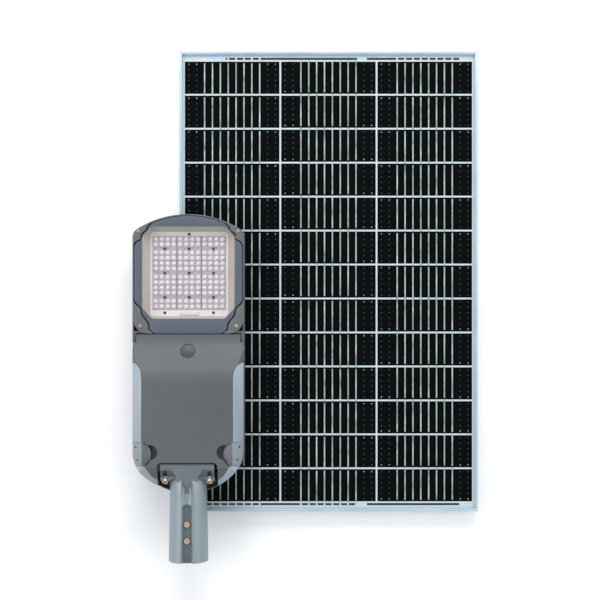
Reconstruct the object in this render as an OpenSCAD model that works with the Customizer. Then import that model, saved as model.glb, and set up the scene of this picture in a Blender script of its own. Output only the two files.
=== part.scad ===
// Solar street lamp: a framed photovoltaic panel lying face up, with its lamp head
// lying on it, light side up. The lamp's own sub-parts are drawn in lamp
// coordinates: x across, y from the head's crown towards the pole, z up from its back.

/* [Solar panel] */
// Width of the panel
panel_w = 660; // [500:1:800]
// Length of the panel
panel_l = 1016; // [800:1:1300]
// Height of the aluminium frame
frame_h = 30; // [25:1:40]
// Width of the frame's lip over the glass
lip_w = 6; // [5:0.5:10]
// Thickness of the frame's lip
lip_t = 2; // [1.5:0.1:3]
// Wall of the frame profile
frame_wall = 1.8; // [1.4:0.1:2.5]
// Width of the frame's foot flange
foot_w = 24; // [20:1:35]
// Thickness of the front glass
panel_glass_t = 3.2; // [2.5:0.1:4]
// Cells across the panel
cell_cols = 3; // [2:1:4]
// Cells along the panel
cell_rows = 13; // [8:1:16]
// Gap between two cells
cell_gap = 4; // [2:0.5:8]
// Margin from the frame's outer edge to the cells, at the sides
cell_side_margin = 12; // [10:1:20]
// Margin from the frame's outer edge to the cells, at the ends
cell_end_margin = 21; // [18:1:30]
// Ribbons on each cell
ribbons = 12; // [5:1:14]
// Radius of the mounting holes in the foot flange
panel_hole_r = 4.5; // [3:0.1:6]
// Distance between the two rows of mounting holes along the panel
panel_hole_pitch = 508; // [300:1:700]

/* [Lamp head] */
// Width of the head
head_w = 242; // [220:1:260]
// Length of the head without its spigot
head_l = 605; // [590:1:640]
// Height of the cooling fins under the light module
fin_h = 20; // [10:1:25]
// Wall of the castings
wall = 3; // [2.5:0.1:4]
// Height of the housing's rim at the gear bay
rim_z = 48; // [44:1:50]
// Height of the bezel's face
bezel_z = 58; // [56:1:60]
// Height of the gear cover's flat face
cover_z = 88; // [86:1:92]
// Distance from the crown to the gear cover's first edge
cover_y = 260.5; // [258:0.5:264]
// Slope of the cover's ramp
ramp_a = 20.7; // [16:0.1:24]
// Width of the side strips beside the gear cover
strip_w = 24; // [19:0.5:31]
// Gap between the cover, its frame and the latches
seam = 0.8; // [0.5:0.1:1.5]

/* [Light module] */
// Width of the window
window_w = 200; // [180:1:204]
// Length of the window
window_l = 199; // [180:1:204]
// Distance from the crown to the window
window_y = 27; // [26:1:32]
// Depth of the reflector tray
tray_d = 17; // [12:0.5:18]
// Lens plates along each side of the square
plates = 3; // [2:1:4]
// Size of a lens plate
plate_s = 52.4; // [40:0.1:53]
// Light sources along each side of a lens plate
leds_side = 4; // [2:1:5]

/* [Spigot] */
// Radius of the pole socket
socket_r = 30.5; // [24:0.1:32]
// Outer radius of the socket at its mouth
mouth_r = 43; // [40:0.5:44]
// Outer radius of the socket at the head
shoulder_r = 40; // [37:0.5:41]
// Distance from the crown to the socket's mouth
spigot_end = 749; // [700:1:800]
// Depth of the pole socket
socket_d = 130; // [90:1:140]
// Distance from the crown to the tilt axis
tilt_y = 545; // [543:1:548]
// Height of the tilt axis
tilt_z = 51; // [48:1:52]
// Radius of the clamp boss
boss_r = 28.2; // [26:0.1:29]
// Half width of the clamp flange
flange_u = 58; // [54:0.5:60]
// Thickness of the clamp flange
flange_t = 5.5; // [4:0.1:6]

/* [Hidden] */
e = 0.01;

// Panel levels, from the foot up.
slot_z = frame_h - lip_t - panel_glass_t - 0.8;
cell_t = 0.2;
sheet_t = 0.4;
cell_z = slot_z + sheet_t;
ribbon_z = cell_z + cell_t;
glass_z = slot_z + 0.8;
glass_w = panel_w - 2 * frame_wall - 1;
glass_l = panel_l - 2 * frame_wall - 1;
cell_w = (panel_w - 2 * cell_side_margin - (cell_cols - 1) * cell_gap) / cell_cols;
cell_l = (panel_l - 2 * cell_end_margin - (cell_rows - 1) * cell_gap) / cell_rows;
ribbon_pitch = cell_w / ribbons;
hole_x = panel_w / 2 - foot_w / 2;
box_w = 110;
box_l = 84;
box_h = 17;
box_y = panel_l / 2 - 130;

// Lamp levels and outline.
lamp_inset = 25.5;
lamp_x = lamp_inset - panel_w / 2;
lamp_y = 145;
lamp_z = frame_h;
half_w = head_w / 2;
crown_r = 210;
crown_fillet = 22;
crown_c = crown_r - sqrt(pow(crown_r - crown_fillet, 2) - pow(half_w - crown_fillet, 2));
crown_a = atan2(crown_c - crown_r, half_w - crown_fillet);
tail_r = half_w + 14;
tail_fillet = 60;
tail_c = head_l - tail_r;
tail_f = tail_c + sqrt(pow(tail_r - tail_fillet, 2) - pow(half_w - tail_fillet, 2));
tail_a = atan2(tail_f - tail_c, half_w - tail_fillet);
edge_step = 1.5;
strip_z = rim_z + 16;
strip_u = half_w - strip_w;
bay_end = tilt_y - 20;
recess_u = 65;
recess_y = tilt_y - 11;
floor_z = fin_h + 4;
pad_z = floor_z + 10;
board_t = 1.6;
board_z = pad_z + board_t;
window_v = window_y + window_l / 2;
chamfer_u = 19;
chamfer_v = 22;
glass_seat = pad_z + board_t + tray_d;
window_t = 3;
array_v = 127;
plate_pitch = plate_s + 0.6;
plate_t = 3;
led_pitch = plate_s / leds_side;
led_rows = [for (k = [-0.395, -0.172, 0.172, 0.395]) k * plate_s];
lens_r = 0.397 * min(led_pitch, plate_s / 4);
ledge_z = rim_z + 8;
hinge_y = cover_y + 4.5;
hinge_z = bezel_z - 6;
hinge_cheek = 7;
lug_u = [44, 72];
lug_w = 6;
lug_r = 3.9;
ledge_y = cover_y + 60;
pin_r = 2;
run_gap = 0.08;
foot_r = 70;
brow_r = 90;
ramp_rise = cover_z - bezel_z - (foot_r + brow_r) * (1 - cos(ramp_a));
ramp_end = cover_y + (foot_r + brow_r) * sin(ramp_a) + ramp_rise / tan(ramp_a);
plug_y = 296;
plug_z = bezel_z + foot_r * (1 - cos(ramp_a)) + (plug_y - cover_y - foot_r * sin(ramp_a)) * tan(ramp_a);
plug_r = 15.5;
latch_y0 = 491;
latch_y1 = 543;
latch_in = 20.5;
latch_half = (latch_y1 - latch_y0) / 2;
shoulder_y = 356;
latch_u = half_w - 17;
latch_z = rim_z + 18;
finger_u = strip_u - 18;
finger_y = 512;
finger_r = 16;
screw_u = 47.5;
screw_a = 45;
flange_r = boss_r + 0.3 + flange_t;
socket_y = spigot_end - socket_d;
groove_y = 624;
pole_screw_y = [666, 702];

function arc(cx, cy, r, a0, a1, n) =
    [for (i = [0:n]) let (a = a0 + (a1 - a0) * i / n) [cx + r * cos(a), cy + r * sin(a)]];

function mirrored(p) = concat(p, [for (i = [len(p) - 1:-1:0]) [-p[i][0], p[i][1]]]);

// One half of the head's outline, drawn in by t.
function head_half(t) = concat(
    arc(0, crown_r, crown_r - t, -90, crown_a, 8),
    arc(half_w - crown_fillet, crown_c, crown_fillet - t, crown_a, 0, 5),
    arc(half_w - tail_fillet, tail_f, tail_fillet - t, 0, tail_a, 6),
    arc(0, tail_c, tail_r - t, tail_a, 90, 8));

module head_outline(t = 0) { polygon(mirrored(head_half(t))); }

module on_lamp() { translate([lamp_x, lamp_y, lamp_z]) mirror([0, 1, 0]) children(); }

module both_sides() {
    children();
    mirror([1, 0, 0]) children();
}

// A profile given in across and height, run along the lamp.
module along(y0, y1) {
    translate([0, y1, 0]) rotate([90, 0, 0]) linear_extrude(y1 - y0) children();
}

// A profile given in length and height, run across the lamp.
module across(u0, u1) {
    translate([u0, 0, 0]) rotate([90, 0, 90]) linear_extrude(u1 - u0) children();
}

module rod(r, u0, u1, fn = 48) {
    translate([u0, 0, 0]) rotate([0, 90, 0]) cylinder(r = r, h = u1 - u0, $fn = fn);
}

module slab(w, l, h) { translate([-w / 2, -l / 2, 0]) cube([w, l, h]); }

// ---- Solar panel -------------------------------------------------------------

// The frame's profile: its outer wall at x = 0, its foot and lip towards +x.
module frame_profile() {
    difference() {
        square([foot_w, frame_h]);
        translate([frame_wall, frame_wall]) square([foot_w, slot_z - 2 * frame_wall - 8]);
        translate([lip_w + 4, frame_wall]) square([foot_w, frame_h]);
        translate([frame_wall, slot_z - frame_wall - 6.2]) square([lip_w + 4 - 2 * frame_wall, 6.2]);
        translate([frame_wall, slot_z]) square([foot_w, frame_h - lip_t - slot_z]);
        translate([lip_w, slot_z]) square([foot_w, frame_h]);
    }
}

// A rail along Y with mitred ends, its outer wall at x = -w / 2.
module rail(w, l) {
    intersection() {
        translate([-w / 2, l / 2, 0]) rotate([90, 0, 0]) linear_extrude(l) frame_profile();
        linear_extrude(frame_h) polygon([[-w / 2, -l / 2], [-w / 2 + foot_w + 4, -l / 2 + foot_w + 4],
            [-w / 2 + foot_w + 4, l / 2 - foot_w - 4], [-w / 2, l / 2]]);
    }
}

module side_rail() {
    difference() {
        rail(panel_w, panel_l);
        for (s = [-1, 1])
            translate([-hole_x, s * panel_hole_pitch / 2, -1])
                cylinder(r = panel_hole_r, h = frame_wall + 2, $fn = 36);
    }
}

module panel_rail_left() { color("silver") side_rail(); }

module panel_rail_right() { color("silver") mirror([1, 0, 0]) side_rail(); }

module panel_rail_top() { color("silver") rotate([0, 0, -90]) rail(panel_l, panel_w); }

module panel_rail_bottom() { color("silver") rotate([0, 0, 90]) rail(panel_l, panel_w); }

module corner_keys() {
    key_l = 30;
    key_z = slot_z - frame_wall - 6;
    key_w = lip_w + 4 - 2 * frame_wall - 0.2;
    color("gray") for (sx = [-1, 1], sy = [-1, 1])
        translate([sx * (panel_w / 2 - frame_wall - 0.1), sy * (panel_l / 2 - frame_wall - 0.1), key_z])
            linear_extrude(5.8) polygon([[0, 0], [-sx * key_l, 0], [-sx * key_l, -sy * key_w],
                [-sx * key_w, -sy * key_w], [-sx * key_w, -sy * key_l], [0, -sy * key_l]]);
}

module panel_glass() { color("lightcyan", 0.4) translate([0, 0, glass_z]) slab(glass_w, glass_l, panel_glass_t); }

module each_cell() {
    for (i = [0:cell_cols - 1], j = [0:cell_rows - 1])
        translate([(i - (cell_cols - 1) / 2) * (cell_w + cell_gap),
            (j - (cell_rows - 1) / 2) * (cell_l + cell_gap), 0]) children();
}

module solar_cells() { color("black") each_cell() translate([0, 0, cell_z]) slab(cell_w, cell_l, cell_t); }

module cell_ribbons() {
    color("darkgray") for (i = [0:cell_cols - 1], k = [0:ribbons - 1])
        translate([(i - (cell_cols - 1) / 2) * (cell_w + cell_gap)
            + (k - (ribbons - 1) / 2) * ribbon_pitch, 0, ribbon_z])
            slab(1.4, panel_l - 2 * cell_end_margin, glass_z - ribbon_z);
}

module bus_ribbons() {
    bus_l = panel_w - 2 * cell_side_margin - 20;
    color("midnightblue") for (s = [-1, 1])
        translate([0, s * (panel_l / 2 - cell_end_margin + 7), cell_z]) slab(bus_l, 3.5, glass_z - cell_z);
}

module backsheet() { color("white") translate([0, 0, slot_z]) slab(glass_w, glass_l, sheet_t); }

module at_box() { translate([0, box_y, slot_z - box_h]) children(); }

module junction_box() {
    color("black") at_box() difference() {
        translate([0, 0, 2.5]) slab(box_w, box_l, box_h - 2.5);
        translate([0, 0, -1]) slab(box_w - 5, box_l - 5, box_h - 1);
        for (s = [-1, 1]) translate([s * box_w / 4, -box_l / 2 + 5, box_h / 2 + 1])
            rotate([90, 0, 0]) cylinder(r = 4.5, h = 12, $fn = 36);
    }
}

module junction_box_lid() {
    color("black") at_box() {
        slab(box_w, box_l, 2.5);
        translate([0, 0, 2.5]) difference() {
            slab(box_w - 5.4, box_l - 5.4, 2);
            translate([0, 0, -1]) slab(box_w - 9, box_l - 9, 4);
        }
    }
}

module junction_terminals() {
    color("goldenrod") at_box() for (i = [-1:1])
        translate([i * 30, 0, box_h - 6]) difference() {
            slab(16, 50, 4);
            translate([0, 16, -1]) cylinder(r = 2, h = 6, $fn = 24);
        }
}

module bypass_diodes() {
    color("dimgray") at_box() for (s = [-1, 1])
        translate([s * 15, 0, box_h - 11]) rod(3.2, -6, 6, 32);
    color("silver") at_box() for (s = [-1, 1], t = [-1, 1])
        translate([s * 15 + t * 8.5, 0, box_h - 11 + 0.9]) slab(5.2, 2, 4.1);
}

module junction_glands() {
    color("black") at_box() for (s = [-1, 1])
        translate([s * box_w / 4, -box_l / 2 - 11, box_h / 2 + 1]) rotate([-90, 0, 0]) difference() {
            union() {
                cylinder(r = 6.5, h = 11, $fn = 6);
                cylinder(r = 4.4, h = 15, $fn = 36);
            }
            translate([0, 0, -1]) cylinder(r = 3, h = 17, $fn = 36);
        }
}

// ---- Lamp head: housing --------------------------------------------------------

// Plan of the clear space around the spigot.
module recess_plan(g = 0) {
    hull() {
        for (s = [-1, 1]) translate([s * (recess_u - 10), recess_y + 10]) circle(r = 10 + g, $fn = 32);
        translate([-recess_u - g, head_l]) square([2 * (recess_u + g), 20]);
    }
}

module tail_plan(g = 0) { translate([-recess_u - g, bay_end - g]) square([2 * (recess_u + g), 120]); }

module fin(u) {
    across(u - 1.25, u + 1.25) polygon([[26, fin_h + 1], [32, 0], [cover_y - 12, 0], [cover_y - 6, fin_h + 1]]);
}

module hinge_lugs() {
    for (u = lug_u) across(u, u + lug_w) polygon([[hinge_y - 5, floor_z - 1], [hinge_y + 8, floor_z - 1],
        [hinge_y + 8, hinge_z - 6], [hinge_y + 2.5, hinge_z + 2.5], [hinge_y - 2.5, hinge_z + 2.5]]);
}

module upper_housing() {
    wall_y = cover_y - 3.5;
    color("slategray") on_lamp() difference() {
        union() {
            intersection() {
                translate([0, 0, fin_h]) linear_extrude(bezel_z - 2 - fin_h) head_outline();
                across(-half_w, half_w) polygon([[-1, fin_h], [-1, bezel_z - 2], [wall_y, bezel_z - 2],
                    [wall_y, rim_z], [head_l + 1, rim_z], [head_l + 1, fin_h]]);
            }
            intersection() {
                linear_extrude(rim_z) head_outline(12);
                across(-half_w, half_w) polygon([[wall_y - 4, fin_h + 1], [wall_y + 6, 0], [head_l - 24, 0],
                    [head_l, rim_z - 6], [wall_y, rim_z - 6]]);
            }
            for (i = [-7:7]) fin(i * 14);
            // cheeks beside the gear cover's hinge
            translate([0, 0, rim_z - e]) linear_extrude(bezel_z - 2 - rim_z) intersection() {
                difference() {
                    head_outline();
                    head_outline(hinge_cheek);
                }
                translate([-half_w, wall_y - 1]) square([head_w, cover_y + 16 - wall_y + 1]);
            }
        }
        // module bay
        intersection() {
            translate([0, 0, floor_z]) linear_extrude(60) head_outline(wall);
            translate([-half_w, -1, floor_z]) cube([head_w, wall_y - 4 + 1, 60]);
        }
        // gear bay
        intersection() {
            translate([0, 0, 4]) linear_extrude(60) head_outline(12 + wall);
            translate([-half_w, wall_y + 4, 4]) cube([head_w, bay_end - 4 - wall_y - 4, 60]);
        }
        translate([0, 0, -1]) linear_extrude(100) tail_plan();
        // cable way to the module and through the boss wall
        translate([0, wall_y - 8, pad_z - 4]) rotate([-90, 0, 0]) cylinder(r = 5, h = 20, $fn = 36);
        translate([-90, 420, -1]) cylinder(r = 6, h = 8, $fn = 36);
    }
    color("slategray") on_lamp() {
        // pad that carries the light board
        translate([0, window_v + 3, floor_z - e]) slab(184, 176, pad_z - floor_z + e);
        both_sides() difference() {
            hinge_lugs();
            translate([0, hinge_y, hinge_z]) rod(pin_r, 40, 82, 36);
        }
        // clamp boss with its web
        difference() {
            union() {
                intersection() {
                    translate([0, tilt_y, tilt_z]) rod(boss_r, -flange_u + 1, flange_u - 1, 72);
                    translate([-flange_u, bay_end - 4, 0]) cube([2 * flange_u, 100, 100]);
                }
                translate([-flange_u + 1, bay_end - 4, tilt_z - 12]) cube([2 * flange_u - 2, tilt_y - bay_end + 4, 24]);
                translate([-recess_u, bay_end - 4, 4]) cube([2 * recess_u, 4, ledge_z + 4]);
                translate([-flange_u, bay_end - 4, 4]) cube([2 * flange_u, 4, cover_z - 9]);
            }
            translate([0, tilt_y + 60, tilt_z]) rotate([90, 0, 0]) cylinder(r = 9, h = 140, $fn = 48);
            for (s = [-1, 1]) translate([s * screw_u, tilt_y, tilt_z]) rotate([screw_a - 90, 0, 0])
                translate([0, 0, boss_r - 20]) cylinder(r = 4, h = 30, $fn = 36);
        }
        // standoffs for the gear tray
        for (s = [-1, 1], v = [290, 500]) translate([s * 80, v, 4 - e]) cylinder(r = 5, h = 2 + e, $fn = 32);
    }
}

// ---- Lamp head: gear bay -------------------------------------------------------

// The ramp from the bezel's level up to the cover's flat face, drawn in by t.
function ramp(t) = concat(arc(cover_y, bezel_z + foot_r, foot_r + t, -90, ramp_a - 90, 6),
    arc(ramp_end, cover_z - brow_r, brow_r - t, 90 + ramp_a, 90, 8));

// The raised form over the gear bay, drawn in by t. It is open towards the light module.
module hump(t = 0) {
    b = t > 0 ? 1 : 0;
    end = head_l - edge_step;
    intersection() {
        translate([0, 0, rim_z - b]) linear_extrude(60) head_outline(edge_step + t);
        along(cover_y - 5, head_l) polygon([[-half_w, rim_z - b], [half_w, rim_z - b], [half_w, strip_z - t * 0.4],
            [strip_u - t * 0.4, cover_z - t], [-strip_u + t * 0.4, cover_z - t], [-half_w, strip_z - t * 0.4]]);
        across(-half_w, half_w) polygon(concat([[cover_y - b, rim_z - b], [cover_y - b, bezel_z - t]], ramp(t),
            [[tilt_y - t * 0.4, cover_z - t], [end - t, rim_z + 6 - t * 0.4], [end - t, rim_z - b]]));
    }
}

// Plan of the gear cover, its right half from the hinge edge round to the spigot recess.
// The cover narrows in a quarter ellipse, and follows the latch's inner edge in another.
function latch_edge(g) = [for (i = [0:10]) let (a = -90 + i * 16)
    [strip_u - (latch_in + g) * cos(a), (latch_y0 + latch_y1) / 2 + (latch_half + g) * sin(a)]];

function cover_half() = concat([[0, cover_y], [half_w - hinge_cheek - 1.5, cover_y],
    [half_w - hinge_cheek - 1.5, cover_y + 16.5], [half_w - 2.5, cover_y + 16.5]],
    [for (i = [0:6]) let (a = 90 - i * 15)
        [half_w - 2.5 - (half_w - 2.5 - strip_u) * cos(a), shoulder_y - 36 * sin(a)]],
    latch_edge(0),
    [[strip_u - 14, latch_y1 + 10], [strip_u - 21, latch_y1 + 21], [recess_u, latch_y1 + 29]]);

module cover_plan(g = 0) { offset(delta = g) polygon(mirrored(cover_half())); }

// Plan of a latch on the right-hand side.
module latch_plan(g = 0) {
    offset(delta = g) polygon(concat([[half_w + 5, latch_y0 + seam]], latch_edge(-seam), [[half_w + 5, latch_y1 - 1]]));
}

// Plan of the space that a latch's outer edge swings down into.
module latch_sweep_plan() {
    intersection() {
        latch_plan(seam);
        translate([latch_u - 2, 0]) square([40, head_l]);
    }
}

module ledge_plan(inset) {
    translate([-strip_u + 3 + inset, ledge_y + inset])
        square([2 * (strip_u - 3 - inset), bay_end - 6 - ledge_y - 2 * inset]);
}

module gear_frame() {
    color("silver") on_lamp() {
        difference() {
            hump();
            hump(wall);
            translate([0, 0, ledge_z - 1.8]) linear_extrude(60) cover_plan(seam);
            translate([-half_w, cover_y - 1, rim_z - 1]) cube([head_w, 17, 60]);
            both_sides() translate([0, 0, ledge_z]) linear_extrude(60) latch_plan(seam);
            both_sides() translate([0, 0, rim_z - 1]) linear_extrude(60) latch_sweep_plan();
            both_sides() translate([latch_u, latch_y0 - 6, latch_z]) rotate([-90, 0, 0])
                cylinder(r = pin_r, h = latch_y1 - latch_y0 + 11, $fn = 36);
            translate([0, 0, -1]) linear_extrude(100) recess_plan(0);
            translate([0, 0, -1]) linear_extrude(100) tail_plan(0);
        }
        // ledge for the cover's seal, with the shelf that joins it to the outer wall
        translate([0, 0, rim_z]) linear_extrude(4) difference() {
            intersection() {
                head_outline(edge_step + wall - 0.2);
                translate([-half_w, cover_y + 16]) square([head_w, bay_end - cover_y - 20]);
            }
            ledge_plan(8);
            both_sides() latch_sweep_plan();
        }
        translate([0, 0, rim_z + 4 - e]) linear_extrude(ledge_z - rim_z - 4 + e) difference() {
            ledge_plan(0);
            ledge_plan(8);
        }
        // cheeks of the spigot recess
        both_sides() intersection() {
            hump();
            translate([recess_u, bay_end + 6, rim_z]) cube([wall, 120, 60]);
            across(0, half_w) polygon([[0, 0], [0, cover_z - 8], [tilt_y, cover_z - 8], [head_l, 42], [head_l, 0]]);
        }
        // lugs for the latch pins
        both_sides() for (v = [latch_y0 - 6.5, latch_y1 + 0.5]) difference() {
            intersection() {
                hump(wall - 0.5);
                across(latch_u - 5, latch_u + 5) polygon([[v, rim_z], [v + 5, rim_z], [v + 5, latch_z + 5], [v, latch_z + 5]]);
            }
            translate([latch_u, v - 1, latch_z]) rotate([-90, 0, 0]) cylinder(r = pin_r, h = 8, $fn = 36);
        }
    }
}

module frame_screws() {
    color("silver") on_lamp() both_sides() for (v = [300, 470])
        translate([half_w - 18, v, rim_z + 4]) difference() {
            cylinder(r = 4, h = 3, $fn = 36);
            translate([0, 0, 1.4]) cylinder(r = 1.8, h = 3, $fn = 6);
        }
}

// ---- Lamp head: light module ---------------------------------------------------

// Plan of the window, grown by g, with its cut corners.
module window_plan(g = 0) {
    w = window_w / 2 + g;
    l = window_l / 2 + g;
    translate([0, window_v]) polygon([[w, -l + chamfer_v], [w, l - chamfer_v], [w - chamfer_u, l],
        [-w + chamfer_u, l], [-w, l - chamfer_v], [-w, -l + chamfer_v], [-w + chamfer_u, -l], [w - chamfer_u, -l]]);
}

// The tray's hollow, drawn out by t: its sides slope in towards the floor.
module tray_form(t = 0) {
    w = window_w / 2 + t;
    l = window_l / 2 + t;
    in = tray_d - 0.5;
    intersection() {
        translate([0, 0, board_z - t]) linear_extrude(tray_d + t) window_plan(t);
        along(0, 300) polygon([[-w + in, board_z - t], [w - in, board_z - t], [w, glass_seat], [-w, glass_seat]]);
        across(-150, 150) polygon([[window_v - l + in * 0.65, board_z - t], [window_v + l - in * 0.35, board_z - t],
            [window_v + l, glass_seat], [window_v - l, glass_seat]]);
    }
}

module at_tray_screws() {
    edge_v = array_v + plates * plate_pitch / 2 + 7;
    for (p = [[0, window_y + 16], [-53, edge_v], [53, edge_v]]) translate([p[0], p[1], board_z]) children();
}

module reflector_tray() {
    color("seashell") on_lamp() difference() {
        union() {
            tray_form(1.5);
            translate([0, 0, glass_seat - 1.5]) linear_extrude(1.5) window_plan(4.5);
        }
        tray_form(0);
        translate([0, 0, glass_seat - 2]) linear_extrude(5) window_plan(0);
        translate([0, array_v, pad_z - 1]) slab(plates * plate_pitch + 5, plates * plate_pitch + 5, 10);
        at_tray_screws() translate([0, 0, -4]) cylinder(r = 1.6, h = 8, $fn = 24);
    }
}

module led_board() {
    color("white") on_lamp() translate([0, array_v, pad_z])
        slab(plates * plate_pitch + 4, plates * plate_pitch + 4, board_t);
}

module each_plate() {
    for (i = [0:plates - 1], j = [0:plates - 1])
        translate([(i - (plates - 1) / 2) * plate_pitch, array_v + (j - (plates - 1) / 2) * plate_pitch, 0])
            children();
}

module each_led() {
    for (i = [0:leds_side - 1], v = led_rows)
        translate([(i - (leds_side - 1) / 2) * led_pitch, v, 0]) children();
}

module leds() {
    color("lemonchiffon") on_lamp() each_plate() each_led() translate([0, 0, board_z]) slab(3, 3, 0.7);
}

module lens_plates() {
    color("white", 0.7) on_lamp() each_plate() {
        difference() {
            translate([0, 0, board_z]) slab(plate_s, plate_s, plate_t);
            difference() {
                translate([0, 0, board_z - 1]) slab(plate_s - 3, plate_s - 3, 2.2);
                translate([0, 0, board_z - 2]) slab(7, 7, 4);
            }
            translate([0, 0, board_z - 1]) cylinder(r = 1.7, h = 10, $fn = 24);
        }
        each_led() translate([0, 0, board_z + plate_t - e]) cylinder(r1 = lens_r, r2 = 3, h = 2.8, $fn = 24);
    }
}

module pan_screw(head_r, head_h, shank_r, shank_l) {
    difference() {
        union() {
            cylinder(r1 = head_r, r2 = head_r * 0.7, h = head_h, $fn = 36);
            translate([0, 0, -shank_l]) cylinder(r = shank_r, h = shank_l + e, $fn = 24);
        }
        translate([0, 0, head_h * 0.45]) cylinder(r = head_r * 0.38, h = head_h, $fn = 6);
    }
}

module lens_screws() {
    color("saddlebrown") on_lamp() {
        each_plate() translate([0, 0, board_z + plate_t]) pan_screw(2.8, 1.6, 1.5, plate_t);
        at_tray_screws() pan_screw(2.8, 1.6, 1.5, 1.4);
    }
}

module lead_cover() {
    color("whitesmoke") on_lamp() translate([0, array_v + plates * plate_pitch / 2 + 8.5, board_z])
        slab(42, 8, 3.5);
}

module window_gasket() {
    color("black") on_lamp() translate([0, 0, glass_seat]) linear_extrude(0.8) difference() {
        window_plan(4);
        window_plan(1);
    }
}

module window_glass() {
    color("lightcyan", 0.3) on_lamp() translate([0, 0, glass_seat + 0.8]) linear_extrude(window_t - 0.4)
        window_plan(4);
}

// Plans of the corner clamps on the right-hand side, wavy on their inner edges.
module crown_clamp_plan(g = 0) {
    intersection() {
        head_outline(4 - g);
        offset(delta = g) polygon([[80, -5], [80, 16], [88, 21], [93, 27], [95, 36], [105, 43], [106, 54],
            [113, 60], [118, 70], [140, 70], [140, -5]]);
    }
}

module tail_clamp_plan(g = 0) {
    intersection() {
        head_outline(3 - g);
        offset(delta = g) polygon([[140, 186], [117, 186], [113, 195], [106, 203], [105, 216], [97, 226],
            [88, 237], [84, 250], [76, cover_y - 3.5], [140, cover_y - 3.5]]);
    }
}

module bezel() {
    color("slategray") on_lamp() {
        translate([0, 0, bezel_z - 2]) linear_extrude(2) difference() {
            intersection() {
                head_outline(5);
                translate([-half_w, 0]) square([head_w, cover_y - 3.5]);
            }
            window_plan(0);
            both_sides() crown_clamp_plan(2.4);
            both_sides() tail_clamp_plan(2.4);
        }
    }
}

module corner_clamps() {
    color("dimgray") on_lamp() both_sides() {
        translate([0, 0, bezel_z - 2]) linear_extrude(2.5) crown_clamp_plan();
        translate([0, 0, bezel_z - 2]) linear_extrude(2.5) tail_clamp_plan();
    }
}

module corner_screws() {
    color("rosybrown") on_lamp() both_sides() for (p = [[108, 37], [104, 242]])
        translate([p[0], p[1], bezel_z + 0.5]) pan_screw(4.6, 2.6, 2, 0);
}

// ---- Lamp head: gear ------------------------------------------------------------

module cover_gasket() {
    color("black") on_lamp() translate([0, 0, ledge_z]) linear_extrude(3) difference() {
        ledge_plan(1);
        ledge_plan(6);
    }
}

module gear_tray() {
    color("lightgray") on_lamp() translate([0, 395, 6]) difference() {
        slab(176, 226, 1.5);
        for (s = [-1, 1], t = [-1, 1]) translate([s * 80, t * 105, -1]) cylinder(r = 2.2, h = 4, $fn = 24);
    }
}

module battery_case() {
    color("royalblue") on_lamp() translate([0, 352, 7.5]) difference() {
        slab(150, 112, 40);
        translate([0, 0, 1.5]) slab(147, 109, 37);
    }
}

module battery_cells() {
    color("green") on_lamp() for (i = [-1.5:1.5], j = [-1, 1])
        translate([i * 36, 352 + j * 27, 7.5 + 1.5 + 16.3]) rotate([-90, 0, 0])
            translate([0, 0, -26]) cylinder(r = 16.1, h = 52, $fn = 48);
}

module battery_strap() {
    color("gray") on_lamp() difference() {
        translate([0, 352, 7.5]) slab(154, 18, 41.5);
        translate([0, 352, 6]) slab(150.4, 30, 41.5);
    }
    color("gray") on_lamp() for (s = [-1, 1]) translate([s * 81, 352, 7.5]) slab(9, 18, 1.5);
}

module charge_controller() {
    color("darkslategray") on_lamp() translate([-32, 450, 7.5]) {
        slab(96, 62, 24);
        for (i = [-3:3]) translate([i * 12, 0, 24 - e]) slab(2, 62, 5);
    }
}

module terminal_block() {
    color("ivory") on_lamp() translate([52, 450, 7.5]) difference() {
        slab(30, 60, 18);
        for (j = [-2:2]) {
            translate([-7, j * 11, 10]) cylinder(r = 2.6, h = 10, $fn = 24);
            translate([7, j * 11, 10]) cylinder(r = 2.6, h = 10, $fn = 24);
        }
    }
}

module breather() {
    color("black") on_lamp() translate([-90, 420, 0]) {
        translate([0, 0, 0.6]) cylinder(r = 5.9, h = 3.4, $fn = 36);
        translate([0, 0, 4]) cylinder(r = 8, h = 1.8, $fn = 6);
    }
}

module hinge_pins() {
    color("silver") on_lamp() both_sides() translate([0, hinge_y, hinge_z]) rod(pin_r, 43, 79, 36);
}

// ---- Gear cover -------------------------------------------------------------------

module on_ramp() { translate([0, plug_y, plug_z]) rotate([ramp_a, 0, 0]) children(); }

module finger_cup(r, z0) { translate([finger_u, finger_y, z0]) cylinder(r = r, h = 60, $fn = 48); }

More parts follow.
